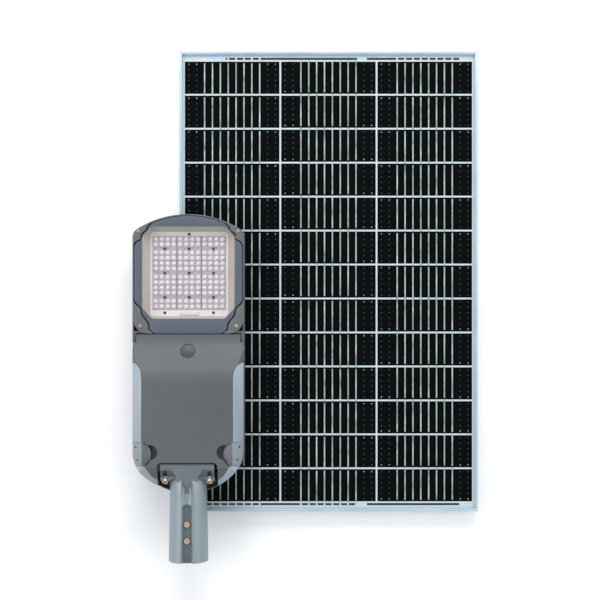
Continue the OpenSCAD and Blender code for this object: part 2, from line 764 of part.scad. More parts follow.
module gear_cover() {
    skirt_t = 2.5;
    floor_cup = cover_z - 16;
    color("dimgray") on_lamp() difference() {
        union() {
            intersection() {
                difference() {
                    hump();
                    hump(wall);
                }
                translate([0, 0, ledge_z - 1.5]) linear_extrude(60) cover_plan();
            }
            // skirt inside the frame's opening
            intersection() {
                hump();
                translate([0, 0, ledge_z + 3.3]) linear_extrude(60) intersection() {
                    difference() {
                        ledge_plan(-1.5);
                        ledge_plan(-1.5 + skirt_t);
                    }
                    cover_plan();
                }
            }
            // cups behind the finger recesses
            both_sides() intersection() {
                hump();
                finger_cup(finger_r + 2.5, floor_cup - 2.5);
                linear_extrude(100) cover_plan();
            }
            // knuckles
            both_sides() across(51, 71) polygon([[hinge_y - 3.6, hinge_z], [hinge_y + 3.6, hinge_z - 1],
                [hinge_y + 8, bezel_z - 1], [cover_y + 1, bezel_z - 1]]);
            both_sides() translate([0, hinge_y, hinge_z]) rod(3.6, 51, 71, 36);
            // collar around the sensor port
            on_ramp() translate([0, 0, -7.5]) cylinder(r = plug_r + 4, h = 6.5, $fn = 60);
        }
        both_sides() translate([0, hinge_y, hinge_z]) {
            rod(pin_r + run_gap, 40, 82, 36);
            // clear of the lugs as the cover opens
            for (u = lug_u) rod(lug_r, u - 0.5, u + lug_w + 0.5, 36);
        }
        on_ramp() translate([0, 0, -20]) cylinder(r = plug_r + 0.6, h = 40, $fn = 60);
        both_sides() finger_cup(finger_r, floor_cup);
        translate([0, 0, -1]) linear_extrude(100) recess_plan(0);
    }
}

module sensor_plug() {
    color("gray") on_lamp() on_ramp() {
        translate([0, 0, -6]) cylinder(r = plug_r + 0.3 - 0.05, h = 4.5, $fn = 60);
        translate([0, 0, -10]) cylinder(r = plug_r - 3, h = 4 + e, $fn = 60);
    }
}

module plug_seal() {
    color("black") on_lamp() on_ramp() translate([0, 0, -7.4]) difference() {
        cylinder(r = plug_r + 0.6, h = 1.4, $fn = 60);
        translate([0, 0, -1]) cylinder(r = plug_r - 2.6, h = 6, $fn = 60);
    }
}

// ---- Latches ------------------------------------------------------------------------

module latch() {
    inner_z = cover_z - 8;
    difference() {
        union() {
            intersection() {
                hump();
                linear_extrude(100) latch_plan();
                along(latch_y0, latch_y1) polygon([[half_w + 2, ledge_z], [half_w + 2, cover_z + 4],
                    [strip_u, cover_z + 0.2], [strip_u - 22, inner_z], [strip_u - 22, inner_z - 3.5],
                    [strip_u, cover_z - 5], [half_w - 7, strip_z + 2], [half_w - 5, ledge_z]]);
            }
            translate([latch_u, latch_y0 + seam + 0.2, latch_z]) rotate([-90, 0, 0])
                cylinder(r = 4, h = latch_y1 - latch_y0 - 2 - seam, $fn = 36);
            along(latch_y0 + seam + 0.2, latch_y1 - 1.8)
                polygon([[latch_u - 3, latch_z], [latch_u + 3, latch_z], [latch_u + 3, cover_z - 11], [latch_u - 3, cover_z - 6]]);
        }
        translate([latch_u, latch_y0 - 5, latch_z]) rotate([-90, 0, 0]) cylinder(r = pin_r + run_gap, h = 70, $fn = 36);
    }
}

module latch_left() { color("silver") on_lamp() mirror([1, 0, 0]) latch(); }

module latch_right() { color("silver") on_lamp() latch(); }

module latch_pins() {
    color("gray") on_lamp() both_sides() translate([latch_u, latch_y0 - 5.5, latch_z]) rotate([-90, 0, 0])
        cylinder(r = pin_r, h = latch_y1 - latch_y0 + 10, $fn = 36);
}

// ---- Spigot ---------------------------------------------------------------------------

module at_screws() {
    for (s = [-1, 1]) translate([s * screw_u, tilt_y, tilt_z]) rotate([screw_a - 90, 0, 0]) children();
}

module tilt_screws() {
    color("rosybrown") on_lamp() at_screws() translate([0, 0, flange_r + 1.8]) difference() {
        union() {
            cylinder(r = 6.5, h = 8, $fn = 48);
            translate([0, 0, -flange_r - 1.8 + boss_r - 18]) cylinder(r = 4, h = flange_r + 20 - boss_r, $fn = 36);
        }
        translate([0, 0, 4]) cylinder(r = 3.4, h = 6, $fn = 6);
    }
}

module tilt_washers() {
    color("silver") on_lamp() at_screws() translate([0, 0, flange_r + 0.2]) difference() {
        cylinder(r = 8, h = 1.6, $fn = 48);
        translate([0, 0, -1]) cylinder(r = 4.2, h = 5, $fn = 36);
    }
}

// A ring sector about the tilt axis, across u0 to u1.
module sector(r0, r1, a0, a1, u0, u1) {
    translate([u0, tilt_y, tilt_z]) rotate([0, 90, 0]) rotate([0, 0, 90 + a0])
        rotate_extrude(angle = a1 - a0, $fn = 96) translate([r0, 0]) square([r1 - r0, u1 - u0]);
}

module spigot() {
    color("silver") on_lamp() difference() {
        union() {
            sector(boss_r + 0.3, flange_r, -70, 103.6, -flange_u, flange_u);
            translate([0, 600, tilt_z]) intersection() {
                sphere(r = 46, $fn = 96);
                translate([0, 1, 0]) rotate([90, 0, 0]) cylinder(r = shoulder_r, h = 60, $fn = 72);
            }
            translate([0, 600, tilt_z]) rotate([-90, 0, 0])
                cylinder(r1 = shoulder_r, r2 = mouth_r, h = spigot_end - 600, $fn = 72);
        }
        translate([0, tilt_y, tilt_z]) rod(boss_r + 0.3, -80, 80, 96);
        translate([0, socket_y, tilt_z]) rotate([-90, 0, 0]) cylinder(r = socket_r, h = socket_d + 1, $fn = 96);
        translate([0, tilt_y, tilt_z]) rotate([-90, 0, 0]) cylinder(r = 12, h = 120, $fn = 48);
        for (s = [-1, 1]) {
            sector(boss_r - 2, flange_r + 2, 28, 72, s * screw_u - 4.3, s * screw_u + 4.3);
            for (a = [28, 72]) translate([s * screw_u, tilt_y, tilt_z]) rotate([a - 90, 0, 0])
                translate([0, 0, boss_r - 3]) cylinder(r = 4.3, h = 14, $fn = 36);
        }
        // groove for the pole screws
        translate([0, 0, tilt_z + shoulder_r - 5]) linear_extrude(20) union() {
            translate([-9, groove_y + 9]) square([18, 200]);
            translate([0, groove_y + 9]) circle(r = 9, $fn = 48);
        }
        for (v = pole_screw_y) translate([0, v, tilt_z]) cylinder(r = 4, h = 60, $fn = 36);
    }
}

module pole_screws() {
    color("rosybrown") on_lamp() for (v = pole_screw_y) translate([0, v, tilt_z + shoulder_r - 5]) difference() {
        union() {
            cylinder(r1 = 7.5, r2 = 6, h = 3.5, $fn = 48);
            translate([0, 0, -shoulder_r + 5 + socket_r + 1]) cylinder(r = 4, h = shoulder_r - 6 - socket_r + e, $fn = 36);
        }
        translate([0, 0, 1.5]) cylinder(r = 3, h = 4, $fn = 6);
    }
}

panel_rail_left();
panel_rail_right();
panel_rail_top();
panel_rail_bottom();
corner_keys();
panel_glass();
solar_cells();
cell_ribbons();
bus_ribbons();
backsheet();
junction_box();
junction_box_lid();
junction_terminals();
bypass_diodes();
junction_glands();
upper_housing();
gear_frame();
frame_screws();
led_board();
leds();
lens_plates();
lens_screws();
reflector_tray();
lead_cover();
window_gasket();
window_glass();
bezel();
corner_clamps();
corner_screws();
cover_gasket();
gear_tray();
battery_case();
battery_cells();
battery_strap();
charge_controller();
terminal_block();
breather();
hinge_pins();
gear_cover();
sensor_plug();
plug_seal();
latch_left();
latch_right();
latch_pins();
tilt_screws();
tilt_washers();
spigot();
pole_screws();
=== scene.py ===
import math
import bpy
from mathutils import Matrix, Vector


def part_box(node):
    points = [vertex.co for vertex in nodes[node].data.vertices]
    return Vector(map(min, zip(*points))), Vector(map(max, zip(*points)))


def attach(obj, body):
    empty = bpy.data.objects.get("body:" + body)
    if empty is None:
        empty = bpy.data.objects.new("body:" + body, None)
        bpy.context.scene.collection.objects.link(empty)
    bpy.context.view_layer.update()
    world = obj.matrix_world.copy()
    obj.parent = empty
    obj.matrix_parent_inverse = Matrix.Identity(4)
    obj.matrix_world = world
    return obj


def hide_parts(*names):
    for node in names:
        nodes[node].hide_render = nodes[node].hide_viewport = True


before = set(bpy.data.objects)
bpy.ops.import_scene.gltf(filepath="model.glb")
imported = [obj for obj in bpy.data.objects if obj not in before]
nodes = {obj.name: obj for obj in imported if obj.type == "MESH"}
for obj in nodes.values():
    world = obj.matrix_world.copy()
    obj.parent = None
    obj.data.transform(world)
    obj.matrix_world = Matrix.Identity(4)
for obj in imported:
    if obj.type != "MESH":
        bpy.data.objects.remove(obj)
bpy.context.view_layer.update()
MM = 0.001

# ---- Camera, floor and studio light --------------------------------------------
# The lamp and its panel lie on a pale table top. The camera hangs straight over
# them, and three soft boxes stand round the table at the head, left and right.
CAMERA_X, CAMERA_Y = -0.063, -0.041
CAMERA_RISE = 2.6
FRAME_WIDTH = 1.3266
SENSOR = 36.0
panel_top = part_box("panel_rail_left")[1].z

bpy.ops.object.select_all(action="DESELECT")
bpy.ops.object.camera_add(location=(CAMERA_X, CAMERA_Y, panel_top + CAMERA_RISE))
camera = bpy.context.object
camera.data.sensor_width = SENSOR
camera.data.lens = SENSOR * CAMERA_RISE / FRAME_WIDTH
camera.data.clip_end = 60
bpy.context.scene.camera = camera
bpy.context.scene.view_settings.view_transform = "Standard"


def linear(red, green, blue):
    """A colour as mixed on a screen, turned to the values that a shader takes."""
    parts = [c / 255 for c in (red, green, blue)]
    return tuple(c / 12.92 if c <= 0.04045 else ((c + 0.055) / 1.055) ** 2.4 for c in parts) + (1.0,)


def soft_box(name, place, size, power):
    bpy.ops.object.light_add(type="AREA", location=place)
    lamp = bpy.context.object
    lamp.name = name
    lamp.data.shape = "RECTANGLE"
    lamp.data.size, lamp.data.size_y = size
    lamp.data.energy = power
    lamp.rotation_euler = (Vector((CAMERA_X, CAMERA_Y, 0)) - Vector(place)).to_track_quat("-Z", "Y").to_euler()


BOX_RISE = 2.2
soft_box("head_box", (-0.1, 3.0, BOX_RISE), (3.4, 1.4), 100)
soft_box("left_box", (-3.0, 0.0, BOX_RISE), (2.2, 2.2), 44)
soft_box("right_box", (2.9, 0.0, BOX_RISE), (2.2, 2.2), 34)

# The room is a little brighter low down than overhead.
world = bpy.data.worlds.new("studio")
world.use_nodes = True
background = world.node_tree.nodes["Background"]
sky = world.node_tree.nodes.new("ShaderNodeTexCoord")
height = world.node_tree.nodes.new("ShaderNodeSeparateXYZ")
fade = world.node_tree.nodes.new("ShaderNodeMapRange")
fade.inputs["From Min"].default_value = 0.35
fade.inputs["From Max"].default_value = 0.9
fade.inputs["To Min"].default_value = 0.80
fade.inputs["To Max"].default_value = 0.62
world.node_tree.links.new(sky.outputs["Generated"], height.inputs[0])
world.node_tree.links.new(height.outputs["Z"], fade.inputs["Value"])
world.node_tree.links.new(fade.outputs[0], background.inputs["Strength"])
background.inputs["Color"].default_value = (0.94, 0.97, 1.0, 1)
bpy.context.scene.world = world


def grain_group():
    """Fine grain with soft patches of tone, used by every painted, moulded and cast finish."""
    group = bpy.data.node_groups.new("finish_grain", "ShaderNodeTree")
    face = group.interface
    for name, kind, value in (("Colour", "NodeSocketColor", (0.5, 0.5, 0.5, 1)),
                              ("Shade", "NodeSocketColor", (0.4, 0.4, 0.4, 1)),
                              ("Grain", "NodeSocketFloat", 900.0), ("Patch", "NodeSocketFloat", 9.0),
                              ("Roughness", "NodeSocketFloat", 0.5), ("Spread", "NodeSocketFloat", 0.1)):
        face.new_socket(name=name, in_out="INPUT", socket_type=kind).default_value = value
    face.new_socket(name="Colour", in_out="OUTPUT", socket_type="NodeSocketColor")
    face.new_socket(name="Roughness", in_out="OUTPUT", socket_type="NodeSocketFloat")
    face.new_socket(name="Height", in_out="OUTPUT", socket_type="NodeSocketFloat")
    new, link = group.nodes.new, group.links.new
    given, out = new("NodeGroupInput"), new("NodeGroupOutput")
    place = new("ShaderNodeTexCoord")
    grain, patch = new("ShaderNodeTexNoise"), new("ShaderNodeTexNoise")
    grain.inputs["Detail"].default_value = 3
    patch.inputs["Detail"].default_value = 4
    for noise, scale in ((grain, "Grain"), (patch, "Patch")):
        link(place.outputs["Object"], noise.inputs["Vector"])
        link(given.outputs[scale], noise.inputs["Scale"])
    both = new("ShaderNodeMath")
    both.operation = "MULTIPLY_ADD"
    both.inputs[1].default_value = 0.45
    link(grain.outputs["Fac"], both.inputs[0])
    link(patch.outputs["Fac"], both.inputs[2])
    share = new("ShaderNodeMapRange")
    share.inputs["From Min"].default_value = 0.45
    share.inputs["From Max"].default_value = 1.0
    link(both.outputs[0], share.inputs["Value"])
    tone = new("ShaderNodeMix")
    tone.data_type = "RGBA"
    link(share.outputs[0], tone.inputs["Factor"])
    link(given.outputs["Colour"], tone.inputs["A"])
    link(given.outputs["Shade"], tone.inputs["B"])
    link(tone.outputs["Result"], out.inputs["Colour"])
    centred = new("ShaderNodeMath")
    centred.operation = "SUBTRACT"
    centred.inputs[1].default_value = 0.5
    link(patch.outputs["Fac"], centred.inputs[0])
    rough = new("ShaderNodeMath")
    rough.operation = "MULTIPLY_ADD"
    link(centred.outputs[0], rough.inputs[0])
    link(given.outputs["Spread"], rough.inputs[1])
    link(given.outputs["Roughness"], rough.inputs[2])
    link(rough.outputs[0], out.inputs["Roughness"])
    link(grain.outputs["Fac"], out.inputs["Height"])
    return group


GRAIN = grain_group()


def finish(name, colour, shade, roughness, metallic=0.0, grain=900.0, patch=9.0, depth=0.03, spread=0.12,
           coat=0.0, specular=0.5, alpha=1.0, light=0.0):
    """One material: base and shade colours mixed by the grain, with its roughness and fine relief."""
    material = bpy.data.materials.new(name)
    material.use_nodes = True
    tree = material.node_tree
    shader = tree.nodes["Principled BSDF"]
    cover = tree.nodes.new("ShaderNodeGroup")
    cover.node_tree = GRAIN
    cover.inputs["Colour"].default_value = linear(*colour)
    cover.inputs["Shade"].default_value = linear(*shade)
    cover.inputs["Grain"].default_value = grain
    cover.inputs["Patch"].default_value = patch
    cover.inputs["Roughness"].default_value = roughness
    cover.inputs["Spread"].default_value = spread
    relief = tree.nodes.new("ShaderNodeBump")
    relief.inputs["Strength"].default_value = depth
    relief.inputs["Distance"].default_value = 0.001
    tree.links.new(cover.outputs["Colour"], shader.inputs["Base Color"])
    tree.links.new(cover.outputs["Roughness"], shader.inputs["Roughness"])
    tree.links.new(cover.outputs["Height"], relief.inputs["Height"])
    tree.links.new(relief.outputs["Normal"], shader.inputs["Normal"])
    shader.inputs["Metallic"].default_value = metallic
    shader.inputs["Coat Weight"].default_value = coat
    shader.inputs["Specular IOR Level"].default_value = specular
    shader.inputs["Alpha"].default_value = alpha
    if light:
        shader.inputs["Emission Color"].default_value = linear(*colour)
        shader.inputs["Emission Strength"].default_value = light
    return material


def put_on(material, *names):
    """Gives CAD nodes a material in place of the plain one that they are packed with."""
    for name in names:
        for place in range(len(nodes[name].material_slots)):
            nodes[name].material_slots[place].material = material


table_paint = finish("table_top", (250, 250, 250), (246, 246, 247), 0.7, grain=60, patch=2, depth=0.0)
bpy.ops.mesh.primitive_plane_add(size=14, location=(0, 0, -0.0005))
table_top = bpy.context.object
table_top.name = "table_top"
table_top.data.materials.append(table_paint)


# ---- Panel frame -----------------------------------------------------------------
# Four rails of extruded aluminium, mitred and keyed at the corners, satin anodised.
# The long rails carry the mounting holes in their foot flange.
def alone(piece):
    bpy.ops.object.select_all(action="DESELECT")
    piece.select_set(True)
    bpy.context.view_layer.objects.active = piece


def smooth(piece, degrees=35):
    alone(piece)
    bpy.ops.object.shade_smooth_by_angle(angle=math.radians(degrees))


def rounded(piece, width, steps=2, degrees=35):
    """Breaks a piece's sharp edges to a radius and smooths its soft ones."""
    alone(piece)
    if width:
        step = piece.modifiers.new("edges", "BEVEL")
        step.width = width * MM
        step.segments = steps
        step.limit_method = "ANGLE"
        step.angle_limit = math.radians(degrees)
        step.use_clamp_overlap = True
        bpy.ops.object.modifier_apply(modifier="edges")
    smooth(piece, degrees)
    return piece


def worked(node, name, body, material, edge=0.4, steps=2, degrees=35, merge=0.6):
    """A CAD node's own shape, merged to clean faces, its sharp edges broken as on the real piece."""
    piece = nodes[node].copy()
    piece.data = nodes[node].data.copy()
    piece.name = name
    piece.data.name = name
    for key in list(piece.keys()):
        del piece[key]
    piece.parent = None
    bpy.context.scene.collection.objects.link(piece)
    piece.data.materials.clear()
    piece.data.materials.append(material)
    alone(piece)
    bpy.ops.mesh.customdata_custom_splitnormals_clear()
    bpy.ops.object.mode_set(mode="EDIT")
    bpy.ops.mesh.select_all(action="SELECT")
    bpy.ops.mesh.remove_doubles(threshold=0.000005)
    bpy.ops.mesh.dissolve_limited(angle_limit=math.radians(merge))
    bpy.ops.object.mode_set(mode="OBJECT")
    rounded(piece, edge, steps, degrees)
    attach(piece, body)
    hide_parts(node)
    return piece


anodised = finish("anodised_aluminium", (190, 209, 223), (160, 185, 204), 0.38, metallic=0.35, grain=420, patch=14,
                  depth=0.02)
for side in ("left", "right", "top", "bottom"):
    worked("panel_rail_" + side, "rail_" + side, "panel", anodised, edge=0.5)
raw_metal = finish("raw_aluminium", (168, 170, 173), (140, 142, 146), 0.45, metallic=0.8)
put_on(raw_metal, "corner_keys")

# ---- Panel laminate ----------------------------------------------------------------
# Tempered glass with a fine texture and an anti-reflective coat, over the cells and
# the white backsheet, which shows in the gaps and margins.
front_glass = finish("front_glass", (12, 18, 20), (10, 14, 18), 0.16, grain=700, patch=5, depth=0.02,
                     specular=0.02, alpha=0.04)
put_on(front_glass, "panel_glass")
white_sheet = finish("white_backsheet", (206, 220, 222), (194, 210, 214), 0.6, patch=30)
put_on(white_sheet, "backsheet")


def cell_finish():
    """Black silicon: blue-black under fine silver fingers that run across the cell."""
    material = finish("black_silicon", (7, 8, 10), (10, 12, 15), 0.35, grain=220, patch=40, specular=0.03)
    tree = material.node_tree
    place = tree.nodes.new("ShaderNodeTexCoord")
    fingers = tree.nodes.new("ShaderNodeTexWave")
    fingers.bands_direction = "Y"
    fingers.inputs["Scale"].default_value = 105
    tree.links.new(place.outputs["Object"], fingers.inputs["Vector"])
    thin = tree.nodes.new("ShaderNodeMapRange")
    thin.inputs["From Min"].default_value = 0.93
    thin.inputs["From Max"].default_value = 1.0
    thin.inputs["To Max"].default_value = 0.05
    tree.links.new(fingers.outputs["Fac"], thin.inputs["Value"])
    mix = tree.nodes.new("ShaderNodeMix")
    mix.data_type = "RGBA"
    mix.inputs["B"].default_value = linear(52, 56, 62)
    shader = tree.nodes["Principled BSDF"]
    base = shader.inputs["Base Color"].links[0].from_socket
    tree.links.new(thin.outputs[0], mix.inputs["Factor"])
    tree.links.new(base, mix.inputs["A"])
    tree.links.new(mix.outputs["Result"], shader.inputs["Base Color"])
    return material


put_on(cell_finish(), "solar_cells")


# ---- Ribbons and solder pads ---------------------------------------------------------
# Eight of each cell's twelve flat ribbons are laid on top, tinned copper, and run
# under the next cell; on the other four lines only the solder pads show.
cells_low, cells_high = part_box("solar_cells")
COLUMNS, ROWS, LINES = 3, 13, 12
CELL_GAP = 4.0 * MM
cell_width = (cells_high.x - cells_low.x - (COLUMNS - 1) * CELL_GAP) / COLUMNS
cell_height = (cells_high.y - cells_low.y - (ROWS - 1) * CELL_GAP) / ROWS
line_pitch = cell_width / LINES
cell_face = cells_high.z
RIBBON = 2.7 * MM
RIBBON_THICK = 0.15 * MM


def closed():
    """Ends the drawing of a mesh with every face turned outwards."""
    bpy.ops.mesh.select_all(action="SELECT")
    bpy.ops.mesh.normals_make_consistent(inside=False)
    bpy.ops.object.mode_set(mode="OBJECT")


def disc(sides, radius):
    """A flat disc at the origin, for a small round piece to be drawn up from."""
    bpy.ops.object.select_all(action="DESELECT")
    bpy.ops.mesh.primitive_circle_add(vertices=sides, radius=radius, fill_type="NGON", location=(0, 0, 0))
    return bpy.context.object


def drawn_up(rise):
    bpy.ops.mesh.extrude_region_move(TRANSFORM_OT_translate={"value": (0, 0, rise)})


def bar(name, low, high, edge=0.0):
    """A flat bar from corner to corner, drawn up from its foot, with its top edges broken."""
    bpy.ops.object.select_all(action="DESELECT")
    size = high - low
    bpy.ops.mesh.primitive_plane_add(size=1, location=(0, 0, 0))
    piece = bpy.context.object
    piece.name = name
    middle_x, middle_y = (low.x + high.x) / 2, (low.y + high.y) / 2
    for corner in piece.data.vertices:
        corner.co = (middle_x + corner.co.x * size.x, middle_y + corner.co.y * size.y, low.z)
    bpy.ops.object.mode_set(mode="EDIT")
    bpy.ops.mesh.select_all(action="SELECT")
    drawn_up(size.z)
    if edge:
        bpy.ops.mesh.bevel(offset=edge, segments=1, affect="EDGES")
    closed()
    return piece


def set_out(pattern, places, name):
    """Copies a piece to each place, each copy its own mesh, and joins the row into one piece."""
    copies = []
    for place in places:
        copy = pattern.copy()
        copy.data = pattern.data.copy()
        copy.data.transform(Matrix.Translation(Vector(place)))
        bpy.context.scene.collection.objects.link(copy)
        copies.append(copy)
    bpy.ops.object.select_all(action="DESELECT")
    for copy in copies:
        copy.select_set(True)
    bpy.context.view_layer.objects.active = copies[0]
    bpy.ops.object.join()
    row = bpy.context.object
    row.name = name
    row.data.name = name
    return row


def fitted(piece, material, body, slot_name, *stands_for):
    piece.data.materials.clear()
    piece.data.materials.append(material)
    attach(piece, body)
    if stands_for:
        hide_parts(*stands_for)
    return piece


def cell_corner(column, row):
    return Vector((cells_low.x + column * (cell_width + CELL_GAP),
                   cells_low.y + row * (cell_height + CELL_GAP), 0))


tinned = finish("tinned_copper", (206, 222, 214), (96, 124, 112), 0.45, metallic=0.0, grain=90, patch=30,
                specular=0.2)
START = 3.5 * MM
strip = bar("ribbon", Vector((-RIBBON / 2, 0, cell_face)),
            Vector((RIBBON / 2, cell_height - START + CELL_GAP - 0.6 * MM, cell_face + RIBBON_THICK)))
up_places, middle = [], ROWS // 2
for column in range(COLUMNS):
    for row in range(ROWS):
        corner = cell_corner(column, row)
        runs_down = (row > middle) == (column != 1) if row != middle else column != 1
        shift = -CELL_GAP + 0.6 * MM if runs_down else START
        for line in range(2, LINES - 2):
            up_places.append(corner + Vector(((line + 0.5) * line_pitch, shift, 0)))
ribbons = set_out(strip, up_places, "cell_ribbons_laid")
bpy.data.objects.remove(strip)
fitted(ribbons, tinned, "panel", "ribbon", "cell_ribbons")

PAD = 2.6 * MM
pad = disc(8, PAD / 2)
for corner in pad.data.vertices:
    corner.co.z = cell_face
bpy.ops.object.mode_set(mode="EDIT")
bpy.ops.mesh.select_all(action="SELECT")
drawn_up(0.08 * MM)
closed()
bright, dim = [], []
PADS = 6
for column in range(COLUMNS):
    for row in range(ROWS):
        corner = cell_corner(column, row)
        runs_down = (row > middle) == (column != 1) if row != middle else column != 1
        for line in (0, 1, LINES - 2, LINES - 1):
            for step in range(PADS):
                reach = START + 2 * MM + step * (cell_height - 2 * START - 4 * MM) / (PADS - 1)
                spot = corner + Vector(((line + 0.5) * line_pitch, cell_height - reach if runs_down else reach, 0))
                (bright if step == 0 else dim).append(spot)
pads_end = set_out(pad, bright, "end_pads")
pads_dim = set_out(pad, dim, "line_pads")
bpy.data.objects.remove(pad)
fitted(pads_end, tinned, "panel", "ribbon")
silver_paste = finish("silver_paste", (76, 84, 86), (42, 48, 50), 0.5, grain=200, patch=30)
fitted(pads_dim, silver_paste, "panel", "ribbon")

# ---- Bus ribbons -----------------------------------------------------------------------
# Wide ribbons along both ends join the columns. They are dark lacquered copper,
# and show as dashes where the cell ribbons cross over them.
bus_low, bus_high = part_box("bus_ribbons")
lacquered = finish("lacquered_copper", (28, 36, 60), (18, 26, 44), 0.4, grain=300, patch=50)
BUS_WIDTH, BUS_THICK = 4.4 * MM, 0.3 * MM
BREAK = 4.2 * MM
RIGHT_BREAK = 22 * MM


def ribbon_x(column, line):
    return cell_corner(column, 0).x + (line + 0.5) * line_pitch


dashes = []
right_gap = (ribbon_x(1, 9) + BREAK, ribbon_x(1, 9) + RIGHT_BREAK)
spans = {1: [ribbon_x(0, 5) - 8 * MM] + [ribbon_x(0, k) for k in range(5, 10)],
         -1: [ribbon_x(0, 9)] + [ribbon_x(1, k) for k in range(2, 10)]}
ends = {1: [ribbon_x(2, k) for k in range(2, 10)] + [ribbon_x(2, 10)], -1: [ribbon_x(2, 10)]}
for side in (1, -1):
    middle_y = (bus_high.y if side > 0 else bus_low.y) - side * BUS_WIDTH / 2 * 1.17
    marks = spans[side]
    stretches = list(zip(marks, marks[1:]))
    stretches.append((marks[-1], right_gap[0]))
    if side < 0:
        stretches += [(ribbon_x(0, k), ribbon_x(0, k + 1)) for k in range(2, 9)]
    right = [right_gap[1]] + ends[side]
    stretches += list(zip(right, right[1:]))
    for first, last in stretches:
        dashes.append(bar("dash", Vector((first + BREAK / 2, middle_y - BUS_WIDTH / 2, bus_low.z)),
                          Vector((last - BREAK / 2, middle_y + BUS_WIDTH / 2, bus_low.z + BUS_THICK))))
bpy.ops.object.select_all(action="DESELECT")
for dash in dashes:
    dash.select_set(True)
bpy.context.view_layer.objects.active = dashes[0]
bpy.ops.object.join()
bus = bpy.context.object
bus.name = "bus_dashes"
fitted(bus, lacquered, "panel", "ribbon", "bus_ribbons")

# ---- Label ---------------------------------------------------------------------------
# A small blank label, pale blue film laid under the glass by the frame.
LABEL = (46 * MM, 12 * MM)
label_paint = finish("label_film", (186, 204, 240), (206, 218, 244), 0.5, patch=90)
label_at = Vector((ribbon_x(0, 2) + 4 * MM, cells_high.y + 2.5 * MM, bus_low.z))
label = bar("blank_label", label_at, label_at + Vector((LABEL[0], LABEL[1], 0.15 * MM)), edge=0.05 * MM)
fitted(label, label_paint, "panel", "backsheet")

# ---- Junction box ----------------------------------------------------------------------
# A moulded black box and lid glued to the backsheet, with two cable glands,
# three brass terminals and two bypass diodes inside.
black_moulding = finish("black_moulding", (38, 38, 40), (30, 30, 32), 0.55, grain=700, depth=0.06)
brass = finish("plated_brass", (196, 172, 118), (170, 146, 96), 0.35, metallic=0.9)
zinc = finish("zinc_plate", (176, 178, 182), (150, 153, 160), 0.38, metallic=0.85, grain=400)
worked("junction_box", "box_shell", "panel", black_moulding, edge=0.8)
worked("junction_box_lid", "box_lid", "panel", black_moulding, edge=0.8)
worked("junction_glands", "cable_glands", "panel", black_moulding, edge=0.3)
put_on(brass, "junction_terminals")
put_on(zinc, "bypass_diodes")

# ---- Lamp housing -------------------------------------------------------------------
# The lamp's back: one aluminium die casting with cooling fins, a rim round the
# light module and a boss for the pole clamp, powder coated dark grey.
# Places on the lamp are given in millimetres from its crown.
dark_powder = finish("dark_powder_coat", (90, 93, 96), (78, 81, 84), 0.5, grain=1100, patch=7, depth=0.08)
silver_powder = finish("silver_powder_coat", (156, 166, 175), (143, 154, 163), 0.42, metallic=0.3, grain=1300,
                       patch=7, depth=0.05, spread=0.08)
worked("upper_housing", "back_casting", "lamp", dark_powder, edge=0.6)
bright_steel = finish("passivated_steel", (224, 202, 188), (178, 152, 138), 0.3, metallic=0.85, grain=500)
worked("frame_screws", "bay_screws", "lamp", bright_steel, edge=0.2)

head_low, head_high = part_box("upper_housing")
HEAD_MIDDLE = (head_low.x + head_high.x) / 2
HALF_WIDTH = (head_high.x - head_low.x) / 2 / MM
HEAD_LENGTH = 605


def at(across, along, up):
    """A place on the lamp in millimetres: across from its middle, along from the crown, up from its back."""
    return Vector((HEAD_MIDDLE + across * MM, head_high.y - along * MM, head_low.z + up * MM))


def arc(across, along, radius, first, last, steps):
    turn = (last - first) / steps
    return [(across + radius * math.cos(math.radians(first + k * turn)),
             along + radius * math.sin(math.radians(first + k * turn))) for k in range(steps + 1)]


CROWN_RADIUS, CROWN_FILLET = 210, 22


def crown_edge(inset):
    """The right half of the head's crown, from the middle round its fillet to the side."""
    fillet_across = HALF_WIDTH - CROWN_FILLET
    fillet_along = CROWN_RADIUS - math.sqrt((CROWN_RADIUS - CROWN_FILLET) ** 2 - fillet_across ** 2)
    meet = math.degrees(math.atan2(fillet_along - CROWN_RADIUS, fillet_across))
    return (arc(0, CROWN_RADIUS, CROWN_RADIUS - inset, -90, meet, 26)
            + arc(fillet_across, fillet_along, CROWN_FILLET - inset, meet, 0, 12)[1:])


def plate(name, outline, low, high):
    """A plate cut to an outline, from one height to another."""
    bpy.ops.object.select_all(action="DESELECT")
    bpy.ops.mesh.primitive_circle_add(vertices=len(outline), fill_type="NGON", location=(0, 0, 0))
    piece = bpy.context.object
    piece.name = name
    for corner, (across, along) in zip(piece.data.vertices, outline):
        corner.co = at(across, along, low)
    bpy.ops.object.mode_set(mode="EDIT")
    bpy.ops.mesh.select_all(action="SELECT")
    drawn_up((high - low) * MM)
    closed()
    return piece


def joined(piece, tool, how="DIFFERENCE"):
    """Cuts a tool out of a piece, or adds it, and takes the tool away."""
    alone(piece)
    step = piece.modifiers.new("tool", "BOOLEAN")
    step.operation = how
    step.solver = "EXACT"
    step.object = tool
    bpy.ops.object.modifier_apply(modifier="tool")
    bpy.data.objects.remove(tool)
    return piece


def flowing(points, steps=7):
    """A smooth line through the points."""
    ends = [points[0]] + list(points) + [points[-1]]
    line = []
    for k in range(1, len(ends) - 2):
        a, b, c, d = (Vector(p) for p in ends[k - 1:k + 3])
        for step in range(steps):
            t = step / steps
            line.append(tuple(0.5 * (2 * b + (c - a) * t + (2 * a - 5 * b + 4 * c - d) * t * t
                                     + (3 * b - a - 3 * c + d) * t ** 3)))
    return line + [tuple(points[-1])]


def beside(line, gap):
    """The same line moved sideways by the gap."""
    moved = []
    for k, point in enumerate(line):
        way = Vector(line[min(k + 1, len(line) - 1)]) - Vector(line[max(k - 1, 0)])
        way.normalize()
        moved.append((point[0] + way.y * gap, point[1] - way.x * gap))
    return moved


def flipped(outline):
    return [(-across, along) for across, along in reversed(outline)]
